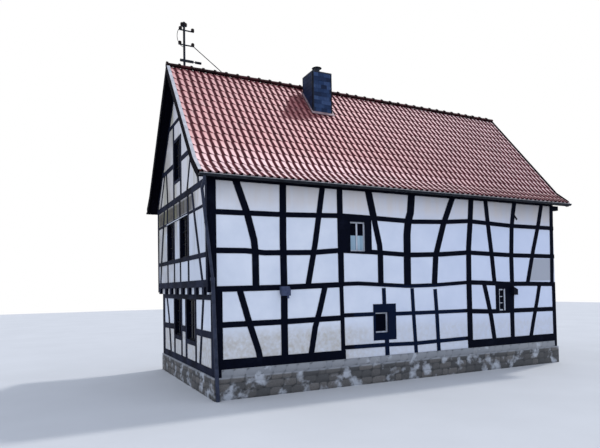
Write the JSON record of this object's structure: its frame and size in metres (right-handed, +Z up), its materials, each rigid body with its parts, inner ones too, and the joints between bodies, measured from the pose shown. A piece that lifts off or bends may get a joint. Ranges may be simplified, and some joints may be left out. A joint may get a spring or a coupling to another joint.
{
  "type": "half timbered house",
  "caption": "Two storey half timbered house with crooked timbers, white infill, a jettied gable, a steep pantiled roof and a slate clad chimney",
  "frame": {"origin": "at the middle of the house's outline, on the level ground that the plinth stands on", "axes": "+X runs along the long front wall from the jettied left gable to the right gable, +Y runs from the front wall to the back wall, +Z is up"},
  "size_m": [13.07, 6.8, 10.7981],
  "materials": {
    "plinth_stone": "rough rubble stone with lime patches",
    "black_timber": "oak painted black, weathered",
    "white_infill": "white limewashed plaster",
    "floor_timber": "plain floor boards",
    "dark_boarding": "dark stained boards",
    "clay_tile": "red clay pantiles",
    "zinc": "weathered grey zinc sheet",
    "downpipe_metal": "dull grey painted pipe",
    "slate_cladding": "dark blue grey slates",
    "dark_metal": "dark painted metal",
    "flashing": "dull painted sheet flashing",
    "window_wood": "painted window frames",
    "window_glass": "old window glass",
    "lamp_metal": "grey blue painted housing"
  },
  "bodies": {
    "root": {"plinth_front": "plinth_stone", "plinth_back": "plinth_stone", "plinth_left": "plinth_stone", "plinth_right": "plinth_stone", "ground_floor": "plinth_stone", "front_lower_frame": "black_timber", "front_upper_frame": "black_timber", "back_lower_frame": "black_timber", "back_upper_frame": "black_timber", "left_lower_frame": "black_timber", "left_upper_frame": "black_timber", "right_lower_frame": "black_timber", "right_upper_frame": "black_timber", "left_joist_ends": "black_timber", "right_joist_ends": "black_timber", "front_lower_infill": "white_infill", "front_upper_infill": "white_infill", "back_lower_infill": "white_infill", "back_upper_infill": "white_infill", "left_lower_infill": "white_infill", "left_upper_infill": "white_infill", "right_lower_infill": "white_infill", "right_upper_infill": "white_infill", "upper_floor": "floor_timber", "attic_floor": "floor_timber", "roof_front_slope": "dark_boarding", "roof_back_slope": "dark_boarding", "front_roof_tiles": "clay_tile", "back_roof_tiles": "clay_tile", "ridge_capping": "clay_tile", "left_barge_boards": "dark_boarding", "right_barge_boards": "dark_boarding", "front_verge_strip": "zinc", "eaves_boards": "dark_boarding", "gutters": "zinc", "downpipes": "downpipe_metal", "chimney_stack": "slate_cladding", "chimney_cap": "dark_metal", "chimney_cowl": "dark_metal", "chimney_flashing": "flashing", "roof_mast": "dark_metal", "mast_stay": "dark_metal", "plate_ends": "black_timber", "front_windows": "window_wood", "back_windows": "window_wood", "left_windows": "window_wood", "right_windows": "window_wood", "front_glass": "window_glass", "back_glass": "window_glass", "left_glass": "window_glass", "right_glass": "window_glass", "floodlight": "lamp_metal", "wall_lamp": "dark_metal"}
  },
  "joints": []
}
